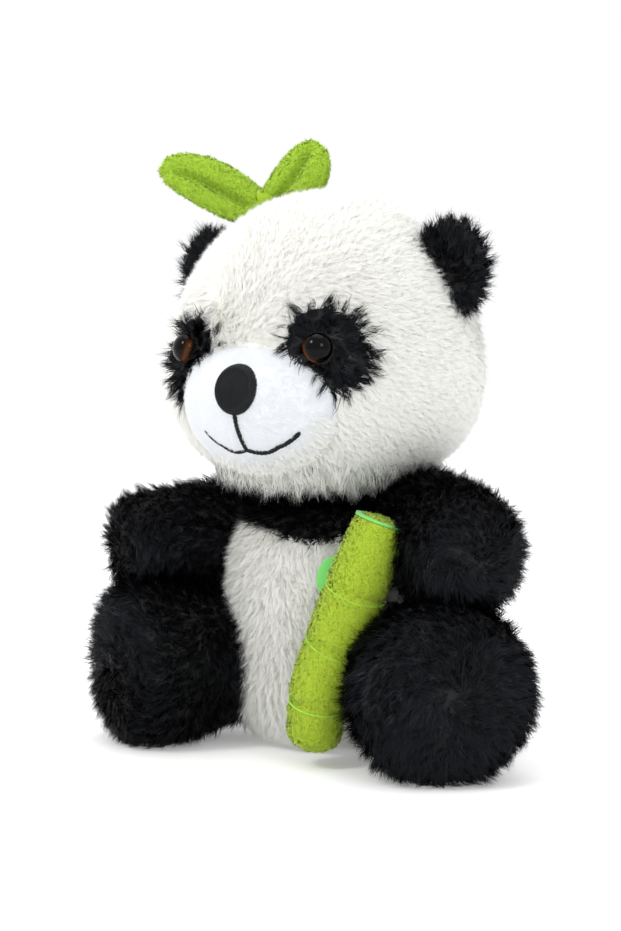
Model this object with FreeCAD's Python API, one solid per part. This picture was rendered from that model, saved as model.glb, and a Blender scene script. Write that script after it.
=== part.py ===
import FreeCAD, Part
import math
import os
from FreeCAD import Matrix, Placement, Rotation, Vector

# Sitting plush panda. +Z is up, the panda faces -Y, its own left side is +X.
# The origin is the middle of the flat base of the torso. Sizes are millimetres.
# Sizes are taken over the compressed pile; the loose fur tips stand a little prouder.

# Cloth
pile_thickness = 4.0        # long pile fabric: backing and pressed pile
short_pile = 2.0            # short pile of the muzzle, eye patches and ears
fleece_thickness = 1.5      # green fleece of the leaves and the bamboo
thread_thickness = 1.2      # thick embroidery and sewing thread

# Clearances
moving_gap = 0.4            # between pieces that turn against each other
sewing_gap = 0.3            # between loose neighbours on different moving parts

# Torso: a barrel about the Z axis
torso_radius = 47.0
torso_top_radius = 45.0
torso_height = 104.0
base_radius = 30.0
collar_radius = 18.0
belly_height = 34.0         # height of the widest place
shoulder_height = 78.0      # where the barrel starts to close
yoke_height = 90.0          # seam between white torso and black yoke
base_seam_height = 5.0      # seam round the base panel
closing_low = 30.0          # hand-sewn closing seam down the back
closing_high = 75.0

# Neck
neck_radius = 16.0
neck_rise = 2.0             # middle of the neck ball above the top of the torso
neck_center = Vector(0, -4, torso_height + neck_rise)

# Head: turned about its own upright axis, widest low down at the cheeks
head_radius = 66.0
head_rise = 76.0            # from the cheeks to the crown
head_drop = 48.0            # from the cheeks to the neck
cheek_fullness = 1.12       # how much squarer than an ellipse the cheeks are
head_lift = 6.0             # open between the torso and the head
head_center = Vector(0, -10, torso_height + head_lift + head_drop)

# Muzzle, nose and mouth
muzzle_half_width = 34.0
muzzle_half_depth = 20.0
muzzle_half_height = 26.0
muzzle_sink = 15.0          # middle of the muzzle inside the front of the head
muzzle_drop = 13.0          # and below the cheeks
muzzle_center = Vector(0, head_center.y - head_radius + muzzle_sink,
                       head_center.z - muzzle_drop)
nose_height = muzzle_center.z + 7
nose_width = 18.0
nose_length = 21.0
nose_thickness = 2.5        # how far the stitched pad stands out
nose_depth = 3.0            # how far its middle lies inside the muzzle
philtrum_height = muzzle_center.z - 17      # where the middle line meets the smile
smile_radius = 27.0
smile_half_width = 20.0

# Eyes
eye_angle = 27.5            # to each side of straight ahead
eye_height = head_center.z + 10
eye_diameter = 12.0
eye_dome = 5.0
shank_diameter = 3.5
shank_length = 11.0
washer_diameter = 14.0
washer_thickness = 1.6
patch_half_width = 17.0
patch_half_height = 22.0
patch_drop = 3.0            # the patch hangs a little below the eye
patch_tilt = 28.0           # and leans outwards at the bottom

# Ears
ear_center = head_center + Vector(head_radius - 6, 2, 43)
ear_half_width = 17.0
ear_half_height = 22.0
ear_half_depth = 8.0

# Leaf bow on top of the head, to the panda's right
bow_side = 26.0             # root of the bow, sideways from the crown
bow_forward = 8.0           # and forwards
bow_rise = 4.0              # and above the head there
bow_level = math.sqrt(1 - (bow_side ** 2 + bow_forward ** 2) / head_radius ** 2)
bow_root = head_center + Vector(-bow_side, -bow_forward, head_rise * bow_level + bow_rise)
bow_leaves = {
    "right": {"reach": Vector(-40, -23, 17), "half_width": 9.5, "half_thickness": 5.5},
    "left": {"reach": Vector(18, 20, 25), "half_width": 11.0, "half_thickness": 5.5},
}
bow_tack_radius = 6.0
bow_tack_sink = 1.0         # middle of the tack below the root

# Limbs: root and end of each, and the range it swings through
limb_gap = 1.0              # between a paw and the foot under it
floor_press = 1.0           # how much of the foot is pressed flat by the floor
arm_root_radius = 15.0
arm_root_drop = 5.0         # below the top of the torso
left_paw_radius = 21.0
right_paw_radius = 17.0
foot_radius = 34.0
leg_root_radius = foot_radius - 14
sole_offset = 16.0          # sole seam, beyond the middle of the foot
foot_height = foot_radius - floor_press
foot_top = foot_height + foot_radius
arm_side = torso_top_radius + 1
arm_height = torso_height - arm_root_drop
foot_side = foot_radius + 42
left_paw = Vector(arm_side + 33, -36, foot_top + limb_gap + left_paw_radius)
right_paw = Vector(-arm_side - 26, -36, foot_top + limb_gap + right_paw_radius)
arms = {
    "left": {"root": Vector(arm_side, -4, arm_height), "end": left_paw,
             "paw_radius": left_paw_radius, "raise": 15.0},
    "right": {"root": Vector(-arm_side, -4, arm_height), "end": right_paw,
              "paw_radius": right_paw_radius, "raise": 45.0},
}
legs = {
    "left": {"root": Vector(torso_radius + 8, -26, foot_height),
             "end": Vector(foot_side, -51, foot_height), "spread": 20.0},
    "right": {"root": Vector(9 - torso_radius, -32, foot_height),
              "end": Vector(-8 - torso_radius, -50, foot_height), "spread": -20.0},
}
clearance_steps = 3         # places at which a limb root is cleared from the torso

# Bamboo stalk: its foot stands before the belly, its head leans on the left paw
bamboo_radius = 10.5
bamboo_gap = 0.5            # between the stalk and the paw
bamboo_foot = Vector(32.5 - bamboo_radius, 0.5 - torso_radius - bamboo_radius, 7)
bamboo_head = left_paw - Vector(left_paw_radius + bamboo_radius + bamboo_gap, 10, -12)
cap_thickness = 1.5
node_places = [0.22, 0.47, 0.72]    # share of the length at each stitched ring
bamboo_leaf_length = 24.0
bamboo_leaf_width = 17.0
bamboo_leaf_thickness = 1.0
bamboo_leaf_place = 0.74
bamboo_leaf_shift = 9.0     # sideways from the middle of the stalk
bamboo_leaf_facing = Vector(0.5, -0.866, 0)
tack_place = 0.86           # share of the length where the stalk is sewn to the paw

os.makedirs("parts", exist_ok=True)


def export(name, shape):
    """Write one sub-part, after a check that it is a sound solid."""
    if not shape.isValid() or shape.Volume <= 0:
        raise ValueError("unsound solid: " + name)
    shape.exportStep("parts/" + name + ".step")


def quarter(start, end, corner, fullness=1.0):
    """Edge of a quarter ellipse from start to end, bulging to corner."""
    pull = 4.0 / 3.0 * (math.sqrt(2.0) - 1.0) * fullness
    curve = Part.BezierCurve()
    first = start + (corner - start) * pull
    second = end + (corner - end) * pull
    curve.setPoles([start, first, second, end])
    return curve.toShape()


def turned(edges):
    """Solid from a profile in the XZ plane, turned about the Z axis."""
    face = Part.Face(Part.Wire(edges))
    return face.revolve(Vector(0, 0, 0), Vector(0, 0, 1), 360)


def line(start, end):
    return Part.LineSegment(start, end).toShape()


def slab(low, high):
    """Box between two opposite corners."""
    size = high - low
    return Part.makeBox(size.x, size.y, size.z, low)


def aimed(direction, place):
    """Placement that carries +Z to a direction, at a place."""
    return Placement(place, Rotation(Vector(0, 0, 1), direction))


def ellipsoid(center, half_x, half_y, half_z):
    """Ball stretched along the three axes."""
    scale = Matrix()
    scale.scale(half_x, half_y, half_z)
    ball = Part.makeSphere(1.0).transformGeometry(scale)
    ball.translate(center)
    return ball


def torso_form(grow):
    """The torso barrel, grown outwards or shrunk inwards all round."""
    foot = Vector(base_radius, 0, -grow)
    wide = Vector(torso_radius + grow, 0, belly_height)
    shoulder = Vector(torso_top_radius + grow, 0, shoulder_height)
    collar = Vector(collar_radius, 0, torso_height + grow)
    low_corner = Vector(wide.x, 0, foot.z)
    high_corner = Vector(shoulder.x, 0, collar.z)
    axis_low = Vector(0, 0, foot.z)
    axis_high = Vector(0, 0, collar.z)
    return turned([
        line(axis_low, foot),
        quarter(foot, wide, low_corner),
        line(wide, shoulder),
        quarter(shoulder, collar, high_corner),
        line(collar, axis_high),
        line(axis_high, axis_low),
    ])


def head_form(grow):
    """The head, grown outwards or shrunk inwards all round."""
    side = head_radius + grow
    top = Vector(0, 0, head_rise + grow)
    bottom = Vector(0, 0, -head_drop - grow)
    wide = Vector(side, 0, 0)
    form = turned([
        quarter(bottom, wide, Vector(side, 0, bottom.z), cheek_fullness),
        quarter(wide, top, Vector(side, 0, top.z)),
        line(top, bottom),
    ])
    form.translate(head_center)
    return form


def muzzle_form(grow):
    return ellipsoid(muzzle_center, muzzle_half_width + grow,
                     muzzle_half_depth + grow, muzzle_half_height + grow)


def limb_form(root, end, root_radius, end_radius):
    """Two balls joined by the cone that touches both."""
    length = (end - root).Length
    slope = math.asin((end_radius - root_radius) / length)
    out = Vector(math.cos(slope), 0, -math.sin(slope))
    peak = Vector(0, 0, length + end_radius)
    low = Vector(0, 0, -root_radius)
    root_touch = out * root_radius
    end_touch = Vector(0, 0, length) + out * end_radius
    middle = (math.pi / 2 - slope) / 2
    root_way = Vector(math.cos(middle + slope), 0, -math.sin(middle + slope))
    rise = (math.pi / 2 + slope) / 2 - slope
    end_way = Vector(math.cos(rise), 0, math.sin(rise))
    root_arc = Part.Arc(low, root_way * root_radius, root_touch).toShape()
    end_mid = Vector(0, 0, length) + end_way * end_radius
    end_arc = Part.Arc(end_touch, end_mid, peak).toShape()
    form = turned([root_arc, line(root_touch, end_touch), end_arc, line(peak, low)])
    form.Placement = aimed(end - root, root)
    return form


def swung_clear(limb, root, axis, swing):
    """Cut the limb clear of the torso at several places of its swing."""
    envelope = torso_form(moving_gap)
    for step in range(clearance_steps + 1):
        angle = -swing * step / clearance_steps
        blocked = envelope.copy()
        blocked.rotate(root, axis, angle)
        limb = limb.cut(blocked)
    return limb


def above_ground(shape):
    reach = 400.0
    return shape.common(slab(Vector(-reach, -reach, 0), Vector(reach, reach, reach)))


def largest(shape):
    """The main solid of a cut, without loose crumbs."""
    return max(shape.Solids, key=lambda solid: solid.Volume)


def make_torso():
    reach = 200.0
    outer = torso_form(0)
    socket = Part.makeSphere(neck_radius + moving_gap, neck_center)
    stuffing = torso_form(-pile_thickness).cut(socket)
    skin = outer.cut(torso_form(-pile_thickness)).cut(socket)
    top = slab(Vector(-reach, -reach, yoke_height), Vector(reach, reach, reach))
    base = slab(Vector(-reach, -reach, -1), Vector(reach, reach, base_seam_height))
    front = slab(Vector(-reach, -reach, -1), Vector(reach, 0, reach))
    rear = slab(Vector(-reach, 0, -1), Vector(reach, reach, reach))
    yoke = skin.common(top)
    sides = skin.cut(top).cut(base)
    export("torso_stuffing", stuffing)
    export("chest_yoke", yoke.common(front))
    export("shoulder_yoke", yoke.common(rear))
    export("belly_panel", sides.common(front))
    export("back_panel", sides.common(rear))
    export("base_panel", skin.common(base))
    closing = torso_form(thread_thickness).cut(outer)
    seam = slab(Vector(-1, 0, closing_low), Vector(1, reach, closing_high))
    export("back_closing_stitches", closing.common(seam))


def make_neck():
    ball = Part.makeSphere(neck_radius, neck_center)
    export("neck_wad", ball)
    ring_radius = neck_radius + thread_thickness / 2
    ring = Part.makeTorus(ring_radius, thread_thickness / 2, neck_center, Vector(0, 0, 1))
    export("neck_stitching", ring)


def eye_frame(side):
    """Place on the head surface under an eye, with +Z pointing out of it."""
    around = math.radians(eye_angle) * side
    lift = (eye_height - head_center.z) / head_rise
    ring = head_radius * math.sqrt(1 - lift * lift)
    flat = Vector(math.sin(around) * ring, -math.cos(around) * ring, 0)
    place = head_center + flat + Vector(0, 0, eye_height - head_center.z)
    out = Vector(flat.x / head_radius ** 2, flat.y / head_radius ** 2,
                 lift / head_rise)
    return aimed(out, place)


def eye_hardware(side):
    """Glossy dome with its shank, the lock washer behind, and their pocket."""
    seat = short_pile
    dome = ellipsoid(Vector(0, 0, seat), eye_diameter / 2, eye_diameter / 2, eye_dome)
    dome = dome.common(Part.makeCylinder(eye_diameter, eye_diameter, Vector(0, 0, seat)))
    shank = Part.makeCylinder(shank_diameter / 2, shank_length, Vector(0, 0, seat - shank_length))
    eye = dome.fuse(shank).removeSplitter()
    behind = Vector(0, 0, -pile_thickness - washer_thickness)
    washer = Part.makeCylinder(washer_diameter / 2, washer_thickness, behind)
    washer = washer.cut(Part.makeCylinder(shank_diameter / 2, washer_thickness, behind))
    depth = shank_length + sewing_gap
    pocket = Part.makeCylinder(shank_diameter / 2 + sewing_gap, depth + seat,
                               Vector(0, 0, -depth))
    room = Part.makeCylinder(washer_diameter / 2 + sewing_gap,
                             washer_thickness + pile_thickness, behind)
    frame = eye_frame(side)
    for piece in (eye, washer, pocket, room):
        piece.Placement = frame
    return eye, washer, pocket, room


def make_eye_patch(side, pocket):
    """Oval of black cloth on the head, round the eye."""
    skin = head_form(short_pile).cut(head_form(0)).cut(muzzle_form(0))
    scale = Matrix()
    scale.scale(patch_half_width, patch_half_height, 1.0)
    oval = Part.makeCylinder(1.0, 2 * head_radius).transformGeometry(scale)
    oval.rotate(Vector(0, 0, 0), Vector(0, 0, 1), patch_tilt * side)
    oval.rotate(Vector(0, 0, 0), Vector(1, 0, 0), 90)
    oval.rotate(Vector(0, 0, 0), Vector(0, 0, 1), eye_angle * side)
    oval.translate(Vector(head_center.x, head_center.y, eye_height - patch_drop))
    return largest(skin.common(oval).cut(pocket))


def make_head():
    reach = 300.0
    outer = head_form(0)
    inner = head_form(-pile_thickness)
    socket = Part.makeSphere(neck_radius + moving_gap, neck_center)
    skin = outer.cut(inner).cut(socket)
    stuffing = inner.cut(socket)
    for side, name in ((1, "left"), (-1, "right")):
        eye, washer, pocket, room = eye_hardware(side)
        skin = skin.cut(pocket)
        stuffing = stuffing.cut(pocket).cut(room)
        export(name + "_eye", eye)
        export(name + "_eye_washer", washer.cut(skin))
        export(name + "_eye_patch", make_eye_patch(side, pocket))
    seam = head_center.y
    front = slab(Vector(-reach, -reach, 0), Vector(reach, seam, reach))
    rear = slab(Vector(-reach, seam, 0), Vector(reach, reach, reach))
    export("face_panel", skin.common(front))
    export("head_back_panel", skin.common(rear))
    export("head_stuffing", largest(stuffing))


def make_muzzle():
    head = head_form(0)
    outer = muzzle_form(0)
    inner = muzzle_form(-short_pile)
    export("muzzle_cover", largest(outer.cut(inner).cut(head)))
    export("muzzle_stuffing", largest(inner.cut(head)))
    front = muzzle_center.y - muzzle_half_depth
    pad = ellipsoid(Vector(0, front + nose_depth, nose_height), nose_width / 2,
                    nose_depth + nose_thickness, nose_length / 2)
    export("nose_embroidery", largest(pad.cut(outer)))
    thread = muzzle_form(thread_thickness).cut(outer).cut(pad)
    export("mouth_stitching", largest(mouth_band().common(thread)))


def mouth_band():
    """Middle line and smile, as flat bands driven straight back into the muzzle."""
    depth = muzzle_half_depth
    front = muzzle_center.y - muzzle_half_depth - nose_thickness
    half = thread_thickness / 2
    middle = slab(Vector(-half, front, philtrum_height - half),
                  Vector(half, front + depth, nose_height))
    axis = Vector(0, front, philtrum_height + smile_radius)
    ring = Part.makeCylinder(smile_radius + half, depth, axis, Vector(0, 1, 0))
    ring = ring.cut(Part.makeCylinder(smile_radius - half, depth, axis, Vector(0, 1, 0)))
    low = Vector(-smile_half_width, front - 1, philtrum_height - smile_radius)
    high = Vector(smile_half_width, front + depth + 1, philtrum_height + smile_radius / 2)
    return ring.common(slab(low, high)).fuse(middle)


def make_ears():
    """Each ear is a front and a rear panel, sewn round the rim and to the head."""
    reach = 300.0
    head = head_form(0)
    for side, name in ((1, "left"), (-1, "right")):
        center = Vector(ear_center.x * side, ear_center.y, ear_center.z)
        ear = ellipsoid(center, ear_half_width, ear_half_depth, ear_half_height).cut(head)
        front = slab(Vector(-reach, -reach, 0), Vector(reach, center.y, reach))
        export(name + "_ear_front", largest(ear.common(front)))
        export(name + "_ear_back", largest(ear.cut(front)))


def leaf_form(leaf, grow):
    """Pad between two arcs, pointed at the root and at the tip."""
    along = leaf["reach"]
    half_width = leaf["half_width"] + grow
    half_thickness = leaf["half_thickness"] + grow
    root = Vector(0, -half_thickness, -2 * grow)
    tip = Vector(0, -half_thickness, along.Length + 2 * grow)
    middle = (root + tip) / 2
    side = Vector(half_width, 0, 0)
    edges = [Part.Arc(root, middle + side, tip).toShape(),
             Part.Arc(tip, middle - side, root).toShape()]
    form = Part.Face(Part.Wire(edges)).extrude(Vector(0, 2 * half_thickness, 0))
    form.Placement = aimed(along, bow_root)
    return form


def make_bow():
    """Two leaves that meet at a flat seam, sewn to the crown with one tack."""
    reach = 200.0
    head = head_form(0)
    between = bow_leaves["left"]["reach"] - bow_leaves["right"]["reach"]
    tack = Part.makeSphere(bow_tack_radius, bow_root - Vector(0, 0, bow_tack_sink)).cut(head)
    for name, leaf in bow_leaves.items():
        seam = between if name == "left" else -between
        half = Part.makeBox(reach, reach, reach, Vector(-reach / 2, -reach / 2, 0))
        half.Placement = aimed(seam, bow_root)
        body = leaf_form(leaf, 0).common(half).cut(head)
        wadding = leaf_form(leaf, -fleece_thickness).common(half).cut(head)
        export(name + "_leaf_wadding", largest(wadding))
        export(name + "_leaf_cover", largest(body.cut(wadding)))
        tack = tack.cut(leaf_form(leaf, 0))
    export("leaf_tack_stitches", largest(tack))


def make_arms():
    for name, arm in arms.items():
        outer = limb_form(arm["root"], arm["end"], arm_root_radius, arm["paw_radius"])
        inner = limb_form(arm["root"], arm["end"], arm_root_radius - pile_thickness,
                          arm["paw_radius"] - pile_thickness)
        axis = Vector(-1, 0, 0)
        outer = swung_clear(outer, arm["root"], axis, arm["raise"])
        inner = swung_clear(inner, arm["root"], axis, arm["raise"])
        export(name + "_arm_stuffing", largest(inner))
        export(name + "_arm_cover", largest(outer.cut(inner)))


def make_legs():
    for name, leg in legs.items():
        outer = limb_form(leg["root"], leg["end"], leg_root_radius, foot_radius)
        inner = limb_form(leg["root"], leg["end"], leg_root_radius - pile_thickness,
                          foot_radius - pile_thickness)
        axis = Vector(0, 0, 1)
        outer = above_ground(swung_clear(outer, leg["root"], axis, leg["spread"]))
        inner = swung_clear(inner, leg["root"], axis, leg["spread"])
        skin = outer.cut(inner)
        along = leg["end"] - leg["root"]
        along.normalize()
        tip = Part.makeCylinder(2 * foot_radius, foot_radius)
        tip.Placement = aimed(along, leg["end"] + along * sole_offset)
        export(name + "_leg_stuffing", largest(inner))
        export(name + "_leg_cover", largest(skin.cut(tip)))
        export(name + "_sole_panel", largest(skin.common(tip)))


def make_bamboo():
    along = bamboo_head - bamboo_foot
    length = along.Length
    frame = aimed(along, bamboo_foot)
    inner_radius = bamboo_radius - fleece_thickness
    cap = Part.makeCylinder(bamboo_radius, cap_thickness)
    top_start = Vector(0, 0, length - cap_thickness)
    top_cap = Part.makeCylinder(bamboo_radius, cap_thickness, top_start)
    clear = length - 2 * cap_thickness
    start = Vector(0, 0, cap_thickness)
    core = Part.makeCylinder(inner_radius, clear, start)
    tube = Part.makeCylinder(bamboo_radius, clear, start).cut(core)
    rings = []
    groove = thread_thickness / 2
    for place in node_places:
        ring = Part.makeTorus(bamboo_radius, groove, Vector(0, 0, length * place))
        tube = tube.cut(ring)
        rings.append(ring)
    pieces = {
        "bamboo_cover": tube,
        "bamboo_bottom_cap": cap,
        "bamboo_top_cap": top_cap,
        "bamboo_stuffing": core,
        "bamboo_joint_stitches": Part.makeCompound(rings),
    }
    for name, piece in pieces.items():
        piece.Placement = frame
        export(name, piece)
    make_bamboo_trim(along, length)


def make_bamboo_trim(along, length):
    """Felt leaf behind the stalk, and the thread that tacks the stalk to the paw."""
    way = Vector(along)
    way.normalize()
    middle = bamboo_foot + way * length * bamboo_leaf_place
    aside = Vector(bamboo_leaf_facing.y, -bamboo_leaf_facing.x, 0)
    behind = bamboo_radius + thread_thickness + bamboo_leaf_thickness
    outline = Part.Ellipse(Vector(0, 0, 0), bamboo_leaf_length / 2, bamboo_leaf_width / 2)
    face = Part.Face(Part.Wire(outline.toShape()))
    leaf = face.extrude(Vector(0, 0, bamboo_leaf_thickness))
    leaf.Placement = aimed(bamboo_leaf_facing,
                           middle + aside * bamboo_leaf_shift - bamboo_leaf_facing * behind)
    export("bamboo_leaf", leaf)
    stalk = Part.makeCylinder(bamboo_radius + thread_thickness / 2, length)
    stalk.Placement = aimed(along, bamboo_foot)
    start = bamboo_foot + way * length * tack_place
    tack_reach = bamboo_radius + 2 * left_paw_radius
    tack = Part.makeCylinder(thread_thickness, tack_reach, start, Vector(1, 0, 0)).cut(stalk)
    paw = limb_form(arms["left"]["root"], left_paw, arm_root_radius + sewing_gap,
                    left_paw_radius + sewing_gap)
    tack = tack.cut(paw)
    export("bamboo_tack_stitches", min(tack.Solids, key=lambda solid: solid.CenterOfMass.x))


make_torso()
make_neck()
make_head()
make_muzzle()
make_ears()
make_bow()
make_arms()
make_legs()
make_bamboo()
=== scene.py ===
import math

import bpy
import numpy as np
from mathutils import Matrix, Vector


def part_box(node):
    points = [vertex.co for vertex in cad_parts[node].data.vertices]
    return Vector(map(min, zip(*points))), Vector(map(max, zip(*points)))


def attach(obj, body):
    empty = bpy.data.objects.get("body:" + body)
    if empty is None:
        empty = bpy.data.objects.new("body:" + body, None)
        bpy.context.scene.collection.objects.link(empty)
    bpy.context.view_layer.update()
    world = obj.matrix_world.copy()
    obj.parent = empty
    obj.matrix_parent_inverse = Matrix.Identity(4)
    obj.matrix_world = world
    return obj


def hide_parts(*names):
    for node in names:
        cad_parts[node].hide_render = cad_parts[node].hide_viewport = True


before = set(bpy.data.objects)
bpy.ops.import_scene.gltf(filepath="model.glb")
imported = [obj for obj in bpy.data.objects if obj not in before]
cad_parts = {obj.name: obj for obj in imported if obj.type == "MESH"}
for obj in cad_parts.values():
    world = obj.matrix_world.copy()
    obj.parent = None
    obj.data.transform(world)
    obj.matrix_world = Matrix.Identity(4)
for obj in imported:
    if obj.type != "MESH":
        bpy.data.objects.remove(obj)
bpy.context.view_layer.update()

# Plush panda. Shapes are worked out in millimetres and made in metres.
# +Z is up, the panda faces -Y, and its own left side is +X.
milli = 0.001
up = np.array([0.0, 0.0, 1.0])
mostFaces = 190000  # a fur is shared out among pieces of no more faces than this
# how unlike each other the strands of one fur are, and the powers of their gathering and taper
strand = {"own": 0.35, "shortest": 0.75, "longer": 0.5, "thinnest": 0.7, "wider": 0.6,
          "gather": 0.8, "taper": 1.6}


def unit(v):
    # each vector divided by its length
    return v / np.maximum(np.linalg.norm(v, axis=-1, keepdims=True), 1e-9)


def dot(a, b):
    # sum of products, kept as a column
    return (a * b).sum(-1, keepdims=True)


def smooth(low, high, x):
    # 0 below low, 1 above high, and the curve 3t^2 - 2t^3 between
    t = np.clip((x - low) / (high - low), 0, 1)
    return t * t * (3 - 2 * t)


def circle(count):
    # evenly spaced angles, once round
    return np.linspace(0, 2 * math.pi, count, endpoint=False)


def discGrid(rows, columns):
    # shares of a disc's radius down the rows, and angles along the columns
    return np.linspace(0.02, 1, rows)[:, None], circle(columns)[None]


def makePiece(name, points, faces, paint, spots=None, normals=None):
    # one object from whole arrays of points and equal-sided faces
    mesh = bpy.data.meshes.new(name)
    mesh.vertices.add(len(points))
    mesh.vertices.foreach_set("co", (points * milli).astype(np.float32).ravel())
    mesh.loops.add(faces.size)
    mesh.loops.foreach_set("vertex_index", faces.astype(np.int32).ravel())
    mesh.polygons.add(len(faces))
    mesh.polygons.foreach_set("loop_start", np.arange(len(faces), dtype=np.int32) * faces.shape[1])
    if spots is not None:
        layer = mesh.uv_layers.new(name="OFBake")
        layer.data.foreach_set("uv", spots[faces.ravel()].astype(np.float32).ravel())
    mesh.update(calc_edges=True)
    if normals is not None:
        mesh.normals_split_custom_set_from_vertices(normals.astype(np.float32))
    mesh.materials.append(paint.material)
    piece = bpy.data.objects.new(name, mesh)
    bpy.context.scene.collection.objects.link(piece)
    return piece


def formNormals(rings):
    # cross product of the way round and the way along, turned outwards
    around = np.roll(rings, -1, 1) - np.roll(rings, 1, 1)
    along = np.gradient(rings, axis=0)
    normals = unit(np.cross(around, along))
    outwards = (dot(normals, rings - rings.mean((0, 1)))).sum()
    return normals if outwards > 0 else -normals


def formFaces(rings):
    # two triangles to each cell of the grid, and a fan over each end ring
    rows, columns = rings.shape[:2]
    cell = np.arange(rows - 1)[:, None] * columns
    here, beside = np.arange(columns), (np.arange(columns) + 1) % columns
    a, b = cell + here, cell + beside
    c, d = b + columns, a + columns
    last = (rows - 1) * columns
    start, end = np.full(columns, rows * columns), np.full(columns, rows * columns + 1)
    faces = np.concatenate([
        np.stack([a, b, c], -1).reshape(-1, 3), np.stack([a, c, d], -1).reshape(-1, 3),
        np.stack([start, beside, here], -1), np.stack([end, last + here, last + beside], -1)])
    points = np.concatenate([rings.reshape(-1, 3), rings[0].mean(0)[None], rings[-1].mean(0)[None]])
    p = points[faces] - points.mean(0)
    if (p[:, 0] * np.cross(p[:, 1], p[:, 2])).sum() < 0:
        faces = faces[:, ::-1]
    return points, faces


def makeForm(name, rings, paint, body, stands=()):
    # closed skin over a grid of rings
    points, faces = formFaces(rings)
    piece = makePiece(name, points, faces, paint)
    finishPiece(piece, body, stands)
    print(f"{name}: {len(faces)} faces", flush=True)
    return piece


def makeFilling(name, rings, share, body, stands):
    # what is inside a skin: the same rings, each drawn in to a share of its size
    middle = rings.mean(1, keepdims=True)
    inner = middle + (rings - middle) * share
    ends = max(1, len(rings) // 12)
    makeForm(name, inner[ends:-ends], filling, body, stands)


def finishPiece(piece, body, stands=()):
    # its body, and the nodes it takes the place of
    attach(piece, body)
    if stands:
        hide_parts(*stands)


def turnRings(center, level, radius, columns):
    # rings about Z: (radius cos a, radius sin a, level), moved to the centre
    turn = circle(columns)
    x = radius[:, None] * np.cos(turn)
    y = radius[:, None] * np.sin(turn)
    z = np.broadcast_to(level[:, None], x.shape)
    return np.stack([x, y, z], -1) + np.asarray(center, float)


def pathRings(middle, across, over, wide, deep, columns):
    # ovals carried along a path: wide cos(a) times across plus deep sin(a) times over
    turn = circle(columns)
    c, s = np.cos(turn), np.sin(turn)
    return (middle[:, None] + across[:, None] * (wide[:, None] * c)[..., None]
            + over[:, None] * (deep[:, None] * s)[..., None])


def cellNumbers(cell, salt):
    # a fixed random number from 0 to 1 for each whole-numbered cell
    cell = cell.astype(np.int64)
    mix = cell[..., 0] * 73856093 ^ cell[..., 1] * 19349663 ^ cell[..., 2] * 83492791
    mix = (mix + salt * 2654435761) & 0xFFFFFFFF
    mix = ((mix ^ (mix >> 15)) * 2246822519) & 0xFFFFFFFF
    mix = ((mix ^ (mix >> 13)) * 3266489917) & 0xFFFFFFFF
    return ((mix ^ (mix >> 16)) & 0xFFFFFF) / float(0xFFFFFF)


def cellVector(cell, salt):
    # three such numbers, from -1 to 1
    return np.stack([cellNumbers(cell, salt + k) for k in range(3)], -1) * 2 - 1


def nearestTuft(places, size):
    # each place's nearest tuft middle, of one jittered point to a cubic cell
    base = np.floor(places / size)
    best = np.full(len(places), 1e9)
    middle, home = np.zeros_like(places), np.zeros_like(base)
    for step in np.ndindex(3, 3, 3):
        cell = base + (np.array(step) - 1)
        point = (cell + 0.5 + 0.45 * cellVector(cell, 11)) * size
        gap = ((point - places) ** 2).sum(-1)
        closer = gap < best
        best = np.where(closer, gap, best)
        middle = np.where(closer[:, None], point, middle)
        home = np.where(closer[:, None], cell, home)
    return middle, home


def scatter(rings, density, rng):
    # places spread evenly by area over the grid, with the normal at each
    normals = formNormals(rings)
    a, b = rings[:-1], np.roll(rings, -1, 1)[:-1]
    c, d = np.roll(rings, -1, 1)[1:], rings[1:]
    area = np.linalg.norm(np.cross(c - a, d - b), axis=-1).ravel() / 2
    count = int(area.sum() * density)
    edges = np.cumsum(area) / area.sum()
    cell = np.minimum(np.searchsorted(edges, rng.random(count)), len(area) - 1)
    row, column = cell // rings.shape[1], cell % rings.shape[1]
    beside = (column + 1) % rings.shape[1]
    s, t = rng.random((2, count, 1))

    def between(grid):
        low = grid[row, column] * (1 - s) + grid[row, beside] * s
        high = grid[row + 1, column] * (1 - s) + grid[row + 1, beside] * s
        return low * (1 - t) + high * t

    return between(rings), unit(between(normals))


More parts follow.
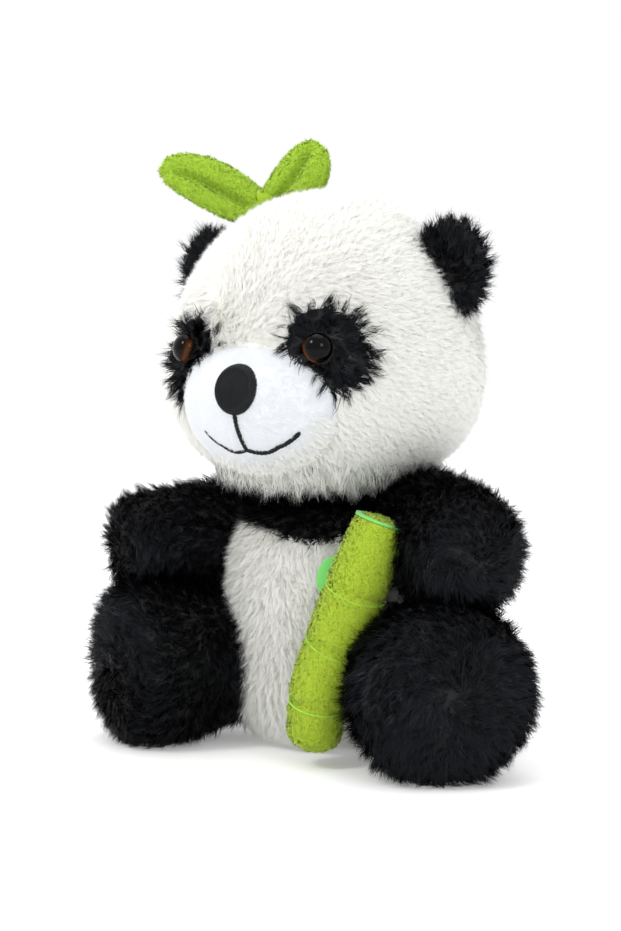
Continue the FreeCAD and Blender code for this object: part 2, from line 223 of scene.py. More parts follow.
def growStrands(places, normals, flow, look, rng):
    # Tapered ribbons. Each leaves its root at the lean angle between the normal and the
    # combing, sags as t squared, waves a little, and is drawn to the tip of its tuft.
    count = len(places)
    flow = unit(flow - dot(flow, normals) * normals)
    middle, home = nearestTuft(places, look["tuft"])
    apart = middle - places
    middle = places + apart - dot(apart, normals) * normals
    lean = math.radians(look["lean"])
    way = normals * math.cos(lean) + flow * math.sin(lean)
    stray = look["stray"]
    tuftWay = unit(way + stray * cellVector(home, 31))
    ownWay = unit(tuftWay + strand["own"] * stray * rng.normal(size=(count, 3)))
    tuftLength = 1 + look["uneven"] * (cellNumbers(home, 51) - 0.5)
    ownLength = strand["shortest"] + strand["longer"] * rng.random((count, 1))
    length = look["length"] * tuftLength[:, None] * ownLength
    phase = rng.random((count, 1)) * 2 * math.pi
    side = unit(np.cross(ownWay, normals + 0.01))
    steps = look["steps"]
    lines = []
    for k in range(steps + 1):
        t = k / steps
        own = places + ownWay * length * t
        tip = middle + tuftWay * length * t
        line = own + (tip - own) * (look["pull"] * t ** strand["gather"])
        line = line + (flow * look["sweep"] - up * look["sag"]) * (length * t * t)
        wave = look["wave"] * length * math.sqrt(t)
        line = line + side * (np.sin(phase + look["curl"] * t) * wave)
        lines.append(line + normals * (np.cos(phase + look["curl"] * t) * wave * 0.5))
    lines = np.stack(lines, 1)
    low = look.get("floor")
    if low is not None:
        lines[..., 2] = np.maximum(lines[..., 2], low)
    tangent = unit(np.gradient(lines, axis=1))
    lift = normals[:, None] - dot(tangent, normals[:, None]) * tangent
    lift = unit(lift + 1e-6)
    roll = rng.normal(size=(count, 1, 1)) * look["roll"]
    broad = np.cross(tangent, lift) * np.cos(roll) + lift * np.sin(roll)
    taper = np.array([1 - (k / steps) ** strand["taper"] for k in range(steps)])
    ownWidth = strand["thinnest"] + strand["wider"] * rng.random((count, 1, 1))
    half = look["width"] / 2 * taper[None, :, None] * ownWidth
    left = lines[:, :-1] - broad[:, :-1] * half
    right = lines[:, :-1] + broad[:, :-1] * half
    pairs = np.stack([left, right], 2).reshape(count, -1, 3)
    points = np.concatenate([pairs, lines[:, -1:]], 1)
    per = 2 * steps + 1
    shade = unit(look["soft"] * normals[:, None] + (1 - look["soft"]) * lift)
    shade = np.concatenate([np.repeat(shade[:, :-1], 2, 1), shade[:, -1:]], 1)
    tone = 0.5 * cellNumbers(home, 71) + 0.5 * rng.random(count)
    tone = 0.02 + 0.96 * tone[:, None]
    sideways = np.array([-0.004, 0.004] * steps + [0.0])
    along = np.array([v for k in range(steps) for v in (k / steps, k / steps)] + [1.0])
    spots = np.stack([tone + sideways, np.broadcast_to(0.02 + 0.96 * along, (count, per))], -1)
    return points, shade, spots


def makeFur(name, roots, flow, look, rng, paint, body, center=(0, 0, 0), clearOf=None):
    # strands whose tips are clear, sorted round the upright axis and shared out among pieces
    strands = growStrands(*roots, flow, look, rng)
    if clearOf is not None:
        clear = clearOf(strands[0][:, -1])
        strands = [part[clear] for part in strands]
    points, shade, spots = strands
    count, per = points.shape[:2]
    steps = look["steps"]
    one = []
    for k in range(0, 2 * steps - 2, 2):
        one += [(k, k + 1, k + 3), (k, k + 3, k + 2)]
    one = np.array(one + [(2 * steps - 2, 2 * steps - 1, 2 * steps)])
    pieceCount = max(1, math.ceil(count * len(one) / mostFaces))
    turn = np.arctan2(points[:, 0, 1] - center[1], points[:, 0, 0] - center[0])
    for k, part in enumerate(np.array_split(np.argsort(turn, kind="stable"), pieceCount)):
        faces = (np.arange(len(part))[:, None, None] * per + one).reshape(-1, 3)
        title = name if pieceCount == 1 else f"{name}_{k + 1}"
        piece = makePiece(title, points[part].reshape(-1, 3), faces, paint,
                          spots[part].reshape(-1, 2), shade[part].reshape(-1, 3))
        finishPiece(piece, body)
    print(f"{name}: {count} strands, {count * len(one)} faces in {pieceCount} pieces", flush=True)


def keep(roots, mask):
    # the places and normals that a mask picks out
    return roots[0][mask], roots[1][mask]


def wander(places, size, wave, phase):
    # slow swings of the combing: size times sin(y / wave + phase), then z and x in turn
    return size * np.sin(places[:, [1, 2, 0]] / wave + phase)


class Link:
    # a socket of a material; sums written on it add Math nodes
    def __init__(self, paint, socket):
        self.paint, self.socket = paint, socket

    def reckon(self, operation, first, second=0.0):
        return self.paint.node("ShaderNodeMath", {"operation": operation}, {0: first, 1: second})

    def __add__(self, other): return self.reckon("ADD", self, other)
    def __radd__(self, other): return self.reckon("ADD", other, self)
    def __sub__(self, other): return self.reckon("SUBTRACT", self, other)
    def __rsub__(self, other): return self.reckon("SUBTRACT", other, self)
    def __mul__(self, other): return self.reckon("MULTIPLY", self, other)
    def __rmul__(self, other): return self.reckon("MULTIPLY", other, self)
    def __pow__(self, other): return self.reckon("POWER", self, other)
    def __abs__(self): return self.reckon("ABSOLUTE", self)


class Paint:
    # one material: its main shader, and node() for any other node
    def __init__(self, name, plain):
        self.material = bpy.data.materials.new(name)
        self.material.use_nodes = True
        self.tree = self.material.node_tree
        self.shader = self.tree.nodes["Principled BSDF"]
        for socket, value in plain.items():
            self.shader.inputs[socket].default_value = value

    def node(self, kind, settings, sockets, out=0):
        made = self.tree.nodes.new(kind)
        for key, value in settings.items():
            if key == "stops":
                ramp = made.color_ramp.elements
                while len(ramp) < len(value):
                    ramp.new(0.5)
                for stop, (at, color) in zip(ramp, value):
                    stop.position, stop.color = at, (*color, 1)
            else:
                setattr(made, key, value)
        for key, value in sockets.items():
            self.feed(made.inputs[key], value)
        return Link(self, made.outputs[out])

    def feed(self, socket, value):
        if isinstance(value, Link):
            self.tree.links.new(value.socket, socket)
        else:
            socket.default_value = value

    def give(self, socket, value):
        self.feed(self.shader.inputs[socket], value)

    def objectPlace(self):
        return self.node("ShaderNodeTexCoord", {}, {}, "Object")

    def noise(self, scale, detail=2.0):
        return self.node("ShaderNodeTexNoise", {},
                         {"Vector": self.objectPlace(), "Scale": scale, "Detail": detail})

    def ramp(self, factor, stops):
        return self.node("ShaderNodeValToRGB", {"stops": stops}, {0: factor})

    def mix(self, factor, first, second):
        return self.node("ShaderNodeMix", {"data_type": "RGBA"},
                         {0: factor, 6: (*first, 1) if isinstance(first, tuple) else first,
                          7: (*second, 1) if isinstance(second, tuple) else second}, 2)

    def bump(self, height, distance):
        self.give("Normal", self.node("ShaderNodeBump", {}, {"Height": height, "Distance": distance}))


def furPaint(name, rootShadeColor, midColor, tipColor, toneSpread, plain):
    # colour runs from a darker root, which is painted shade deep in the fur, to the tip, and lightens
    # with the tuft's own tone
    paint = Paint(name, plain)
    place = paint.node("ShaderNodeUVMap", {"uv_map": "OFBake"}, {})
    tone = paint.node("ShaderNodeSeparateXYZ", {}, {0: place}, 0)
    along = paint.node("ShaderNodeSeparateXYZ", {}, {0: place}, 1)
    # the ramp's root colour is painted shade, darker than the tip
    shade = paint.ramp(along, [(0.0, rootShadeColor), (0.45, midColor), (1.0, tipColor)])
    dark = tuple(c * (1 - toneSpread) for c in midColor)
    paint.give("Base Color", paint.mix((1 - tone) * toneSpread * 1.6, shade, dark))
    return paint


# each fur's first colour is the painted shade at its roots
whiteFur = furPaint("whiteFur", (0.84, 0.83, 0.77), (0.93, 0.93, 0.89), (0.97, 0.97, 0.94), 0.08,
                    {"Roughness": 0.75, "Sheen Weight": 0.15, "Sheen Roughness": 0.4})
blackFur = furPaint("blackFur", (0.001, 0.001, 0.001), (0.002, 0.002, 0.003), (0.008, 0.008, 0.011), 0.8,
                    {"Roughness": 0.32, "Specular IOR Level": 0.17, "Specular Tint": (0.8, 0.88, 1.0, 1)})
stalkNap = furPaint("stalkNap", (0.27, 0.38, 0.010), (0.39, 0.54, 0.020), (0.50, 0.66, 0.050), 0.20,
                    {"Roughness": 0.85, "Sheen Weight": 0.15, "Sheen Roughness": 0.5})
leafNap = furPaint("leafNap", (0.23, 0.39, 0.010), (0.34, 0.55, 0.020), (0.47, 0.69, 0.060), 0.20,
                   {"Roughness": 0.85, "Sheen Weight": 0.15, "Sheen Roughness": 0.5})
muzzleNap = furPaint("muzzleNap", (0.76, 0.78, 0.81), (0.81, 0.83, 0.86), (0.86, 0.875, 0.90), 0.04,
                     {"Roughness": 0.95, "Specular IOR Level": 0.2})


def clothPaint(name, dark, light, scale, bump, plain, detail=3.0):
    # knitted, felted or twisted: two tones in fine noise, raised by the same noise
    paint = Paint(name, plain)
    grain = paint.noise(scale, detail)
    paint.give("Base Color", paint.mix(grain, dark, light))
    paint.bump(grain, bump)
    return paint


whiteGround = clothPaint("whiteGround", (0.74, 0.72, 0.67), (0.84, 0.82, 0.78), 900, 0.0003,
                         {"Roughness": 0.95})
blackGround = clothPaint("blackGround", (0.004, 0.004, 0.005), (0.009, 0.009, 0.011), 900, 0.0003,
                         {"Roughness": 0.9})
muzzleGround = clothPaint("muzzleGround", (0.80, 0.83, 0.87), (0.90, 0.92, 0.95), 1400, 0.00015,
                          {"Roughness": 0.9, "Sheen Weight": 0.2})
greenGround = clothPaint("greenGround", (0.22, 0.36, 0.006), (0.32, 0.48, 0.012), 1100, 0.0004,
                         {"Roughness": 0.95, "Sheen Weight": 0.2})
mintFelt = clothPaint("mintFelt", (0.13, 0.54, 0.10), (0.22, 0.68, 0.18), 1300, 0.0002,
                      {"Roughness": 0.9, "Sheen Weight": 0.3})
filling = clothPaint("filling", (0.84, 0.84, 0.83), (0.95, 0.95, 0.95), 500, 0.0005, {"Roughness": 1.0})
blackThread = clothPaint("blackThread", (0.002, 0.002, 0.003), (0.010, 0.011, 0.014), 2600, 0.0001,
                         {"Roughness": 0.5, "Specular IOR Level": 0.16}, 2.0)
greenThread = clothPaint("greenThread", (0.16, 0.33, 0.015), (0.30, 0.52, 0.04), 2600, 0.0001,
                         {"Roughness": 0.6}, 2.0)
mintThread = clothPaint("mintThread", (0.26, 0.52, 0.04), (0.36, 0.64, 0.06), 2600, 0.0001,
                        {"Roughness": 0.8}, 2.0)
washerWhite = clothPaint("washerWhite", (0.78, 0.78, 0.76), (0.83, 0.83, 0.81), 300, 0.00002,
                         {"Roughness": 0.45})

# density is strands to a square millimetre; inside is the ball that hides roots in the head
head = {"center": (0, -10, 158), "radius": 65.3, "rise": 75.0, "drop": 47.5, "lowFullness": 2.3,
        "density": 8.5, "inside": (62, 62, 72)}
headMiddle = np.array(head["center"])
# lean is the strand's angle from the normal, and pull how far tips gather in their tuft
pile = {"length": 4.0, "width": 0.19, "lean": 57, "tuft": 1.35, "stray": 0.42, "pull": 0.30,
        "uneven": 0.25, "sweep": 0.0, "sag": 0.04, "wave": 0.0, "curl": 0.0, "roll": 0.4,
        "soft": 0.9, "steps": 1}
shag = {"length": 5.6, "width": 0.27, "lean": 46, "tuft": 2.2, "stray": 0.6, "pull": 0.6,
        "uneven": 0.9, "sweep": 0.12, "sag": 0.04, "wave": 0.14, "curl": 6.0, "roll": 0.9,
        "soft": 0.35, "steps": 2}
eyePatch = {"angle": 27.5, "height": {1: 167.0, -1: 163.0}, "outwards": {1: 4.0, -1: 0.0},
            "halfWidth": 15.0, "halfHeight": 17.5, "tilt": 36.0, "density": 5.0}
patchShag = dict(shag, length=6.0, width=0.34, tuft=3.2, pull=0.85, stray=0.7)
# glow, glowLow and glowTilt place the eyes' painted glow of light
eyes = {"out": 66, "ahead": 65, "height": 168, "bare": 5.2, "domeOut": 65.3, "domeHeight": 168.3,
        "glow": 160, "glowLow": 75, "glowTilt": 0.6}
combing = {"fan": (1, 0.7, 0.8), "lift": (0, 40, -6), "back": (-10, 40), "flat": 0.8, "down": 12,
           "backDown": 45}
cheeks = {"low": 112, "high": 123, "share": 0.30}
cheekShag = dict(shag, length=7.0, tuft=2.6, soft=0.8)
muzzle = {"center": (0, -61, 147.5), "half": (36.0, 21.5, 29.0), "point": 0.75, "blend": 1.6,
          "density": 10.0}
ears = {"center": (57.0, -9, 199.5), "half": (15.5, 7.0, 20.0), "turn": 8, "lean": 12,
        "bowl": 0.35, "bowlHalf": (9, 11), "density": 3.6}
earShag = dict(shag, length=5.0)


def headRings(rows=90, columns=140):
    # radius cos(t) and height sin(t); below the cheeks both to the power 2/fullness
    t = np.linspace(-89, 89, rows) * math.pi / 180
    c, s = np.cos(t), np.sin(t)
    power = np.where(t < 0, 2 / head["lowFullness"], 1.0)
    radius = head["radius"] * c ** power
    reach = np.where(t < 0, head["drop"], head["rise"])
    return turnRings(head["center"], np.sign(s) * np.abs(s) ** power * reach, radius, columns)


def ballRings(center, half, rows=40, columns=64):
    # stretched ball: half-sizes times (cos t cos a, cos t sin a, sin t)
    t = np.linspace(-88, 88, rows) * math.pi / 180
    rings = turnRings((0, 0, 0), np.sin(t), np.cos(t), columns)
    return rings * np.array(half) + np.array(center)


def patchPlace(places, side):
    # 1 at the rim of the eye patch: an ellipse leaning outwards at the bottom
    angle = math.radians(eyePatch["angle"]) * side
    out = np.array([math.sin(angle), -math.cos(angle), 0])
    across = np.array([math.cos(angle), math.sin(angle), 0]) * side
    spot = places - headMiddle
    x, z = spot @ across - eyePatch["outwards"][side], places[:, 2] - eyePatch["height"][side]
    tilt = math.radians(eyePatch["tilt"])
    long = z * math.cos(tilt) - x * math.sin(tilt)
    short = x * math.cos(tilt) + z * math.sin(tilt)
    rim = np.hypot(short / eyePatch["halfWidth"], long / eyePatch["halfHeight"])
    return np.where(spot @ out > 0, rim, 9.0)


def patchesPlace(places):
    # the same for whichever patch is nearer
    return np.minimum(patchPlace(places, 1), patchPlace(places, -1))


def headRadius(z):
    # the head's radius at a height, by the same two curves as its rings
    level = (z - head["center"][2]) / np.where(z > head["center"][2], head["rise"], head["drop"])
    power = np.where(z > head["center"][2], 2.0, head["lowFullness"])
    return head["radius"] * np.clip(1 - np.abs(level) ** power, 0.01, 1) ** (1 / power)


def patchRings(side):
    # the same ellipse laid on the head: each place is turned round the head by asin(x / radius)
    r, a = discGrid(24, 72)
    tilt = math.radians(eyePatch["tilt"])
    short, long = eyePatch["halfWidth"] * r * np.cos(a), eyePatch["halfHeight"] * r * np.sin(a)
    x = short * math.cos(tilt) - long * math.sin(tilt) + eyePatch["outwards"][side]
    z = short * math.sin(tilt) + long * math.cos(tilt) + eyePatch["height"][side]
    radius = headRadius(z) + 0.35
    turn = (math.radians(eyePatch["angle"]) + np.arcsin(x / radius)) * side
    cx, cy = head["center"][:2]
    front = np.stack([cx + radius * np.sin(turn), cy - radius * np.cos(turn), z], -1)
    back = front + (np.array([cx, cy, 0]) - front * (1, 1, 0)) * 0.012
    return np.concatenate([front, back[-1:]])


def muzzlePlace(places, grow=0.0):
    # 1 on the surface of the muzzle
    half = np.array(muzzle["half"]) + grow
    return np.linalg.norm((places - np.array(muzzle["center"])) / half, axis=1)


def outsideHead(places):
    # beyond the ball inside the head
    return np.linalg.norm((places - headMiddle) / head["inside"], axis=1) > 1


def headFlow(places):
    # combed away from the middle of the face, down at the cheeks, and down over the back
    spot = places - headMiddle
    fan = spot * combing["fan"] + combing["lift"]
    back = smooth(*combing["back"], spot[:, 1:2])
    down = up * (combing["down"] + combing["backDown"] * back)
    return fan * (1 - combing["flat"] * back) + wander(places, 14, 11.0, 1.3) - down


def buildHead(rng):
    # white fur all over but for the muzzle and both eye patches, which have black fur of their own
    rings = headRings()
    makeForm("headSkin", rings, whiteGround, "head", ("face_panel", "head_back_panel"))
    roots = scatter(rings, head["density"], rng)
    places = roots[0]
    rim = patchesPlace(places) + 0.07 * rng.normal(size=len(places))
    free = (rim > 1) & (muzzlePlace(places) > 1.0)
    white = keep(roots, free)
    makeFur("headFur", white, headFlow(white[0]), pile, rng, whiteFur, "head",
            head["center"], lambda tips: patchesPlace(tips) > 1)
    # longer tufts hang from the underside of the cheeks
    band = (places[:, 2] < cheeks["high"]) & (places[:, 2] > cheeks["low"])
    low = keep(roots, free & band & (rng.random(len(places)) < cheeks["share"]))
    flow = (low[0] - headMiddle) * (1, 1, 0) * 0.6 - up * 60
    makeFur("cheekTufts", low, flow, cheekShag, rng, whiteFur, "head")
    roots = scatter(rings, eyePatch["density"], rng)
    for side, name in ((1, "left"), (-1, "right")):
        makeForm(name + "EyePatchSkin", patchRings(side), blackGround, "head", (name + "_eye_patch",))
        rim = patchPlace(roots[0], side) + 0.05 * rng.normal(size=len(roots[0]))
        angle = math.radians(eyePatch["angle"]) * side
        eye = np.array([eyes["out"] * math.sin(angle),
                        head["center"][1] - eyes["ahead"] * math.cos(angle), eyes["height"]])
        clear = np.linalg.norm(roots[0] - eye, axis=1) > eyes["bare"]
        black = keep(roots, (rim < 1) & (muzzlePlace(roots[0], -0.5) > 1) & clear)
        flow = (black[0] - eye) - up * 3
        makeFur(name + "EyePatchFur", black, flow, patchShag, rng, blackFur, "head", eye)


def buildEars(rng):
    # stretched balls pressed in at the front by bowl exp(-(x / a)^2 - (z / b)^2), turned outwards
    # about Z and leant outwards about Y
    for side, name in ((1, "left"), (-1, "right")):
        center = np.array(ears["center"]) * (side, 1, 1)
        rings = ballRings((0, 0, 0), ears["half"])
        wide, tall = ears["bowlHalf"]
        away = (rings[..., 0] / wide) ** 2 + ((rings[..., 2] - 1) / tall) ** 2
        bowl = 1 - ears["bowl"] * np.exp(-away)
        rings[..., 1] *= np.where(rings[..., 1] < 0, bowl, 1.0)
        turn = math.radians(ears["turn"]) * side
        c, s = math.cos(turn), math.sin(turn)
        rings = rings @ np.array([[c, s, 0], [-s, c, 0], [0, 0, 1]])
        lean = math.radians(ears["lean"]) * side
        c, s = math.cos(lean), math.sin(lean)
        rings = rings @ np.array([[c, 0, -s], [0, 1, 0], [s, 0, c]]) + center
        makeForm(name + "EarSkin", rings, blackGround, "head", (name + "_ear_front", name + "_ear_back"))
        roots = scatter(rings, ears["density"], rng)
        roots = keep(roots, outsideHead(roots[0]))
        flow = roots[0] - center + up * 3
        makeFur(name + "EarFur", roots, flow, earShag, rng, blackFur, "head", center)


muzzleEdge = {"rim": (0.74, 0.98), "side": (-12, 8), "below": (2, 12), "share": 0.8}
edgePile = dict(pile, length=3.0)
nap = {"length": 1.3, "width": 0.20, "lean": 55, "tuft": 1.2, "stray": 0.25, "pull": 0.2, "uneven": 0.3,
       "sweep": 0.1, "sag": 0.05, "wave": 0.02, "curl": 3.0, "roll": 0.1, "soft": 1.0, "steps": 1}
nose = {"halfWidth": 9.4, "halfHeight": 10.2, "height": 152.0, "across": 0.8, "egg": 0.04,
        "stand": 2.2, "rim": 0.8, "rimAt": 0.84, "rimSpread": 0.09, "ridge": 0.22, "pitch": 1.1}
mouth = {"philtrumLow": 128.0, "bend": 1.0, "smileWidth": {1: 22.6, -1: 19.5}, "smileRise": 7.4,
         "dip": 1.2, "dipEnd": 0.6, "thin": 0.45, "thick": 0.95, "stand": 0.5}
thread = {"twist": 1.6, "plies": 0.14}  # length of one turn, and how far the two plies bulge


def muzzleFront(x, z):
    # y of the muzzle's front at a place across and up: depth times (1 - r^2)^point, joined to the
    # head's own front by the smooth least of the two, -k log(exp(-a/k) + exp(-b/k))
    (cx, cy, cz), (a, b, c) = muzzle["center"], muzzle["half"]
    own = cy - b * np.clip(1 - ((x - cx) / a) ** 2 - ((z - cz) / c) ** 2, 0.0, 1) ** muzzle["point"]
    radius = headRadius(z)
    behind = head["center"][1] - np.sqrt(np.clip(radius ** 2 - x ** 2, 1, None)) + 1.0
    k = muzzle["blend"]
    return -k * np.logaddexp(-own / k, -behind / k)


def muzzleRings():
    # a stretched ball whose front is drawn out to the curve of muzzleFront
    rings = ballRings(muzzle["center"], muzzle["half"], 60, 90)
    ahead = rings[..., 1] < muzzle["center"][1]
    rings[..., 1] = np.where(ahead, muzzleFront(rings[..., 0], rings[..., 2]), rings[..., 1])
    return rings


def buildMuzzle(rng):
    rings = muzzleRings()
    makeForm("muzzleSkin", rings, muzzleGround, "head", ("muzzle_cover",))
    roots = scatter(rings, muzzle["density"], rng)
    roots = keep(roots, outsideHead(roots[0]))
    # white fur thins out over the muzzle's lower left edge
    x, _, z = (roots[0] - np.array(muzzle["center"])).T
    edge = smooth(*muzzleEdge["rim"], np.hypot(x / muzzle["half"][0], z / muzzle["half"][2]))
    edge = edge * smooth(*muzzleEdge["side"], x - 0.5 * z) * smooth(*muzzleEdge["below"], -z)
    edging = keep(roots, rng.random(len(x)) < edge * muzzleEdge["share"])
    flow = edging[0] - np.array([-8, -70, 160])
    makeFur("muzzleEdgeFur", edging, flow, edgePile, rng, whiteFur, "head", muzzle["center"])
    flow = roots[0] - np.array([0, -90, 150])
    makeFur("muzzleNap", roots, flow, nap, rng, muzzleNap, "head", muzzle["center"])


def buildNose():
    # Egg outline, wider at the top: x gets 1 + egg sin a. The pad stands up as the fourth root of
    # 1 - r^6, its rim rises as exp(-((r - rimAt) / rimSpread)^2), and the upright satin stitches are
    # ridges, sin(2 pi x / pitch), that waver with height.
    r, a = discGrid(40, 220)
    x = nose["across"] + nose["halfWidth"] * r * np.cos(a) * (1 + nose["egg"] * np.sin(a))
    z = nose["height"] + nose["halfHeight"] * r * np.sin(a)
    rim = np.exp(-((r - nose["rimAt"]) / nose["rimSpread"]) ** 2)
    rise = nose["stand"] * (1 - r ** 6) ** 0.25 + nose["rim"] * rim
    waver = 1.5 * np.sin(z * 0.9)
    stitch = nose["ridge"] * np.sin(x * 2 * math.pi / nose["pitch"] + waver) * (1 - r ** 8)
    y = muzzleFront(x, z) - rise - stitch
    front = np.stack(np.broadcast_arrays(x, y, z), -1)
    back = front[-1:] + np.array([0, 1.5, 0])
    makeForm("noseStitching", np.concatenate([front, back]), blackThread, "head", ("nose_embroidery",))


def threadTube(line, radius, columns=10):
    # two plies round a line: radius times 1 + plies cos(2 turn - 2 pi along / twist), with round ends
    along = np.concatenate([[0], np.cumsum(np.linalg.norm(np.diff(line, axis=0), axis=1))])
    tangent = unit(np.gradient(line, axis=0))
    across = unit(np.cross(tangent, np.array([0.13, 1.0, 0.07])))
    over = np.cross(across, tangent)
    turn = circle(columns)
    size = radius * np.sqrt(np.clip(np.minimum(along, along[-1] - along) / radius, 0.05, 1))
    plies = np.cos(2 * turn[None] - along[:, None] * 2 * math.pi / thread["twist"])
    size = size[:, None] * (1 + thread["plies"] * plies)
    return (line[:, None] + across[:, None] * (size * np.cos(turn))[..., None]
            + over[:, None] * (size * np.sin(turn))[..., None])


def buildMouth():
    # the stitched line bends to the left as s^2; the smile is two arcs that dip as
    # sin(pi s / dipEnd) and rise as s^3.2, and its thread thickens from one end to the other
    s = np.linspace(0, 1, 60)
    top = nose["height"] - nose["halfHeight"] + 1
    z = top + s * (mouth["philtrumLow"] - top)
    x = nose["across"] + mouth["bend"] * s ** 2
    line = np.stack([x, muzzleFront(x, z) - mouth["stand"], z], -1)
    makeForm("philtrumThread", threadTube(line, mouth["thick"] - 0.1), blackThread, "head",
             ("mouth_stitching",))
    s = np.linspace(-1, 1, 120)
    width = np.where(s > 0, mouth["smileWidth"][1], mouth["smileWidth"][-1])
    x = nose["across"] + mouth["bend"] + width * s
    z = mouth["philtrumLow"] + mouth["smileRise"] * np.abs(s) ** 3.2
    z = z - mouth["dip"] * np.sin(math.pi * np.clip(np.abs(s) / mouth["dipEnd"], 0, 1))
    line = np.stack([x, muzzleFront(x, z) - mouth["stand"], z], -1)
    size = mouth["thin"] + (mouth["thick"] - mouth["thin"]) * smooth(-1, 0.4, s)
    makeForm("smileThread", threadTube(line, size), blackThread, "head", ())


def buildEyePaint():
    # black dome with painted light: an amber glow low down on its outer side, where light through the
    # dome would show the iris; its strength is the distance from the dome's middle, times how far down
    # and out the place is
    paint = Paint("eyeGloss", {"Roughness": 0.03, "Specular IOR Level": 0.12})
    angle = math.radians(eyePatch["angle"])
    out = eyes["domeOut"] * milli
    middle = (out * math.sin(angle), head["center"][1] * milli - out * math.cos(angle),
              eyes["domeHeight"] * milli)
    place = paint.objectPlace()
    x = abs(paint.node("ShaderNodeSeparateXYZ", {}, {0: place}, 0)) - middle[0]
    y = paint.node("ShaderNodeSeparateXYZ", {}, {0: place}, 1) - middle[1]
    z = paint.node("ShaderNodeSeparateXYZ", {}, {0: place}, 2) - middle[2]
    across = x * math.cos(angle) + y * math.sin(angle)
    gap = (across * across + z * z) ** 0.5
    glow = gap * eyes["glow"] * (0.5 - eyes["glowLow"] * (across + eyes["glowTilt"] * z))
    # the amber stop is painted light, not a ring of colour all round
    paint.give("Base Color", paint.ramp(glow, [
        (0.0, (0.0003, 0.0003, 0.0003)), (0.40, (0.0005, 0.0004, 0.0003)),
        (0.62, (0.006, 0.002, 0.0005)), (0.80, (0.075, 0.020, 0.003)), (1.0, (0.002, 0.001, 0.0005))]))
    return paint


# yoke is the height of the seam between white and black, which hangs by dip at the angle dipAt
torso = {"radius": 46.0, "middle": 50.0, "low": 49.5, "high": 53.0, "fullness": 3.8, "yoke": 94.5,
         "dip": 5.0, "dipAt": 0.28, "dipSpread": 0.45, "density": 7.0, "yokeShare": 0.45}
bellyPile = dict(pile, length=5.2, lean=50, floor=0.4)
yokeShag = dict(shag, length=6.5, lean=40)


def torsoRings(rows=80, columns=120):
    # barrel: radius cos(t) and height sin(t), both to the power 2/fullness
    t = np.linspace(-88, 88, rows) * math.pi / 180
    power = 2 / torso["fullness"]
    c, s = np.cos(t) ** power, np.sign(np.sin(t)) * np.abs(np.sin(t)) ** power
    reach = np.where(t < 0, torso["low"], torso["high"])
    return turnRings((0, 0, torso["middle"]), s * reach, torso["radius"] * c, columns)


def seamDip(places):
    # how far the yoke's seam hangs down: depth times exp(-((a - middle) / spread)^2)
    angle = np.arctan2(places[..., 0], -places[..., 1])
    return torso["dip"] * np.exp(-((angle - torso["dipAt"]) / torso["dipSpread"]) ** 2)


def buildTorso(rng):
    # the yoke is the barrel's top again, its rows spread between the seam and the top, 0.4 mm out
    rings = torsoRings()
    makeForm("torsoSkin", rings, whiteGround, "torso",
             ("belly_panel", "back_panel", "base_panel", "back_closing_stitches"))
    yokeTop = torsoRings(260)
    heights, radii = yokeTop[:, 0, 2], np.hypot(yokeTop[:, 0, 0], yokeTop[:, 0, 1])
    yokeTop = yokeTop[heights > torso["yoke"] - 2]
    base, top = yokeTop[0, 0, 2], heights[-1]
    edge = base - seamDip(yokeTop)
    level = edge + (yokeTop[..., 2] - base) * (top - edge) / (top - base)
    share = np.interp(level, heights, radii) / np.hypot(yokeTop[..., 0], yokeTop[..., 1])
    yokeTop = np.stack([yokeTop[..., 0] * share, yokeTop[..., 1] * share, level], -1)
    yokeTop = yokeTop + formNormals(yokeTop) * 0.4
    makeForm("yokeSkin", yokeTop, blackGround, "torso", ("chest_yoke", "shoulder_yoke"))
    roots = scatter(rings, torso["density"], rng)
    places = roots[0]
    seam = torso["yoke"] - seamDip(places) + 0.6 * rng.normal(size=len(places))
    shown = places[:, 2] > 1.5
    white = keep(roots, shown & (places[:, 2] < seam))
    black = keep(roots, (places[:, 2] >= seam) & (rng.random(len(places)) < torso["yokeShare"]))
    flow = wander(white[0], 0.5, 9.0, 0.7) - up
    makeFur("torsoFur", white, flow, bellyPile, rng, whiteFur, "torso")
    flow = unit(black[0] * (1, 1, 0)) - 0.8 * up + wander(black[0], 0.5, 9.0, 0.7)
    makeFur("yokeFur", black, flow, yokeShag, rng, blackFur, "torso")


# root and end are the middles of a limb's two round ends, and tall its height for its width
limbs = {
    "left_arm": {"root": (40, -6, 97), "end": (76, -35, 88), "rootRadius": 20, "endRadius": 23.0,
                 "rootTall": 1.0, "endTall": 1.06, "cap": 19, "fullness": 2.3, "floor": None},
    "right_arm": {"root": (-42, -5, 88), "end": (-75.5, -36, 83.5), "rootRadius": 14, "endRadius": 17.0,
                  "rootTall": 1.55, "endTall": 1.24, "cap": 15, "fullness": 2.3, "floor": None},
    "left_leg": {"root": (54, -24, 31), "end": (74, -49, 34.5), "rootRadius": 21, "endRadius": 35.0,
                 "rootTall": 1.0, "endTall": 1.0, "cap": 24, "fullness": 2.6, "floor": 0.4},
    "right_leg": {"root": (-45, -27, 35), "end": (-64, -49, 34), "rootRadius": 27, "endRadius": 33.0,
                  "rootTall": 1.0, "endTall": 1.05, "cap": 21, "fullness": 2.6, "floor": 0.4},
}
limbFur = {"density": 3.2, "torsoRadius": 41, "torsoTop": 99, "swirl": 0.8, "down": 0.35, "wander": 0.6}
limbParts = (0.3, 0.3, 0.4)  # shares of the rows round the root, along the middle and round the end


